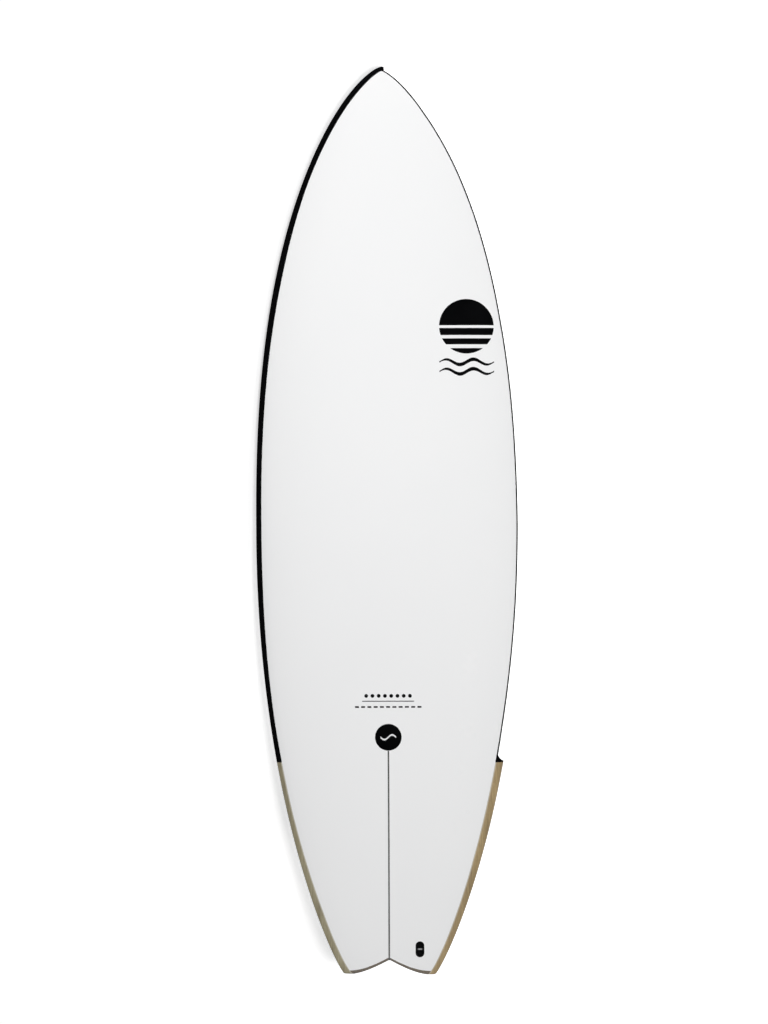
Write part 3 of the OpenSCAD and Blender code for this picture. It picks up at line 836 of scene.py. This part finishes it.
ground = bpy.data.meshes.new("floor")
corners = [(x * FLOOR_REACH, y * FLOOR_REACH, FLOOR_Z) for x, y in ((-1, -1), (1, -1), (1, 1), (-1, 1))]
ground.from_pydata(corners, [], [(0, 1, 2, 3)])
floor = linked("floor", ground)
mat, tree, shader = material("pale_floor", rough=0.9, spec=0.0)
vector = coords(tree)
tree.links.new(two_tone(tree, noise(tree, vector, 2.0), (0.89, 0.89, 0.89), (0.91, 0.91, 0.91)),
               shader.inputs["Base Color"])
shader.inputs["Emission Color"].default_value = (1, 1, 1, 1)
distance = node(tree, "ShaderNodeVectorMath", operation="LENGTH")
tree.links.new(vector, distance.inputs[0])
# the glow makes up for the lamps' fall-off, so that the floor stays one tone out to the horizon
FLOOR_GLOW = ((1.3, 0.6), (3, 0.7), (5, 0.85), (9, 0.96), (20, 1.0))  # metres out, strength
tree.links.new(ramp(tree, math_node(tree, "DIVIDE", distance.outputs["Value"], FLOOR_REACH),
                    [(far / FLOOR_REACH, (glow, glow, glow)) for far, glow in FLOOR_GLOW]),
               shader.inputs["Emission Strength"])
ground.materials.append(mat)
floor.visible_glossy = False

# the white room behind the floor's far edge, for the camera alone
sky_sheet("room", grid(ALL_ROUND, (-2, 10, 25, 45, 70, 90)), ROOM_GLOW, r=29.0, camera=True)


def area(name, where, target, size, power, skip=(), only=()):
    """A lamp that lights everything, all but the objects in skip, or those in only."""
    lamp = bpy.data.lights.new(name, "AREA")
    lamp.shape = "RECTANGLE"
    lamp.size, lamp.size_y = size
    lamp.energy = power
    ob = linked(name, lamp)
    ob.location = where
    ob.rotation_euler = (Vector(target) - Vector(where)).to_track_quat("-Z", "Y").to_euler()
    ob.visible_camera = False
    ob.visible_glossy = False
    if skip:
        link_light(ob, skip, "EXCLUDE")
    if only:
        link_light(ob, only)


def over_right(lean, far):
    """A place over the middle of the board, leaning to its right by so many degrees."""
    a = math.radians(lean)
    return far * math.sin(a), 0, far * math.cos(a)


area("key", over_right(14, 6), (0, 0, 0), (0.75, 0.75), 160.0, skip=("floor",))
area("nose_fill", (-0.35, 1.5, 2.6), (0, 0.4, 0), (1.4, 1.4), 48.0, skip=("floor",))
area("floor_key", over_right(13, 6), (0, 0, 0), (0.7, 0.7), 118.0, only=("floor",))
area("floor_soft", over_right(33, 5), (0, 0, 0), (1.2, 2.4), 65.0, only=("floor",))

# a bright strip for the right rail's gloss, which it mirrors over all its width when seen from above
sky_sheet("rail_strip", [
    [(-26, -45), (-22, -15), (-19.5, 0), (-17.5, 10.4), (-16, 20.5), (-14, 30), (-11, 46)],
    [(-8, -45), (-7, -15), (-6, 0), (-5, 11), (-4, 22), (-3.4, 32), (-2, 41)],
    [(4, -45), (4, -15), (4, 0), (4, 10), (4, 18), (4, 26), (4, 34)],
    [(10, -45), (10, -15), (10, 0), (10, 11), (10, 21), (10, 31), (10, 41)],
    [(15, -45), (15, -15), (15, 0), (15, 13), (15, 25), (15, 37), (15, 49.5)],
    [(20, -45), (20, -15), (20, 0), (20, 15), (20, 28), (19, 41), (18, 55)],
    [(30, -45), (30, -15), (29, 0), (28, 17), (27, 34), (25, 49), (23, 61)],
    [(45, -45), (45, -15), (44, 0), (42, 21), (39, 42), (37, 60), (33, 72)],
    [(62, -45), (62, -15), (60, 0), (57, 22), (54, 45), (50, 68), (40, 86)],
    [(80, -45), (80, -15), (80, 0), (80, 22), (80, 45), (80, 68), (80, 87)]], 22.0, ("right_rail_black",))

# a pale room with a bright ceiling, mirrored by everything but the black rails and the prints
mirrored = [MATS[key] for key in ("white", "wood", "tail", "stringer", "box", "screw", "bar", "fin")]
mirrors = [ob.name for ob in bpy.data.objects if ob.type == "MESH" and not ob.hide_render
           and ob.data.materials and ob.data.materials[0] in mirrored]
for name, low, high, strength in (("ceiling", 38, 89.9, 0.7), ("walls", 0, 38, 0.4),
                                  ("ground_glow", -89.9, 0, 0.5)):
    sky_sheet(name, grid(ALL_ROUND, (low, high)), strength, mirrors, r=25.0)
sky_sheet("left_shine", grid(range(-145, 90, 15), (32, 40, 48, 56)), 7.0, ("left_rail_black",))
sky_sheet("right_shine", grid(range(120, 221, 20), (34, 42, 50, 58)), 7.0, ("right_rail_black",))

scene = bpy.context.scene
world = bpy.data.worlds.new("studio")
scene.world = world
world.use_nodes = True
background = world.node_tree.nodes["Background"]
background.inputs["Color"].default_value = (1, 1, 1, 1)
background.inputs["Strength"].default_value = 0.05
world.cycles_visibility.glossy = False
scene.view_settings.view_transform = "Standard"
scene.view_settings.look = "None"
scene.view_settings.exposure = 0.0

# ---------------------------------------------------------------- camera: looking down on the deck
ROLL, TIP, LEAN, DIST = math.radians(4.507), math.radians(-1.627), math.radians(-0.348), 5.068
VIEW_H = 1.96311  # metres seen from top to bottom of the picture, at the distance of the board
SHIFT_LEFT, SHIFT_UP = 0.0058855, 0.018404  # metres from the middle of the board to the camera's axis
AIM_H, SENSOR_H = 60.0, 24.0
aim = REST @ (Vector((0, LENGTH / 2, AIM_H)) / 1000)
away = Vector((math.sin(ROLL) * math.cos(TIP), math.sin(TIP), math.cos(ROLL) * math.cos(TIP)))
across = Vector((0, 1, 0)).cross(away).normalized()
along = away.cross(across)
right = REST.to_3x3() @ (across * math.cos(LEAN) + along * math.sin(LEAN))
up = REST.to_3x3() @ (along * math.cos(LEAN) - across * math.sin(LEAN))
back = REST.to_3x3() @ away
stand = aim + back * DIST - right * SHIFT_LEFT + up * SHIFT_UP
camera = linked("camera", bpy.data.cameras.new("camera"))
camera.matrix_world = Matrix.Translation(stand) @ Matrix((right, up, back)).transposed().to_4x4()
camera.data.sensor_fit = "VERTICAL"
camera.data.sensor_height = SENSOR_H
camera.data.lens = SENSOR_H * DIST / VIEW_H
camera.data.clip_start, camera.data.clip_end = 0.1, 100.0
scene.camera = camera
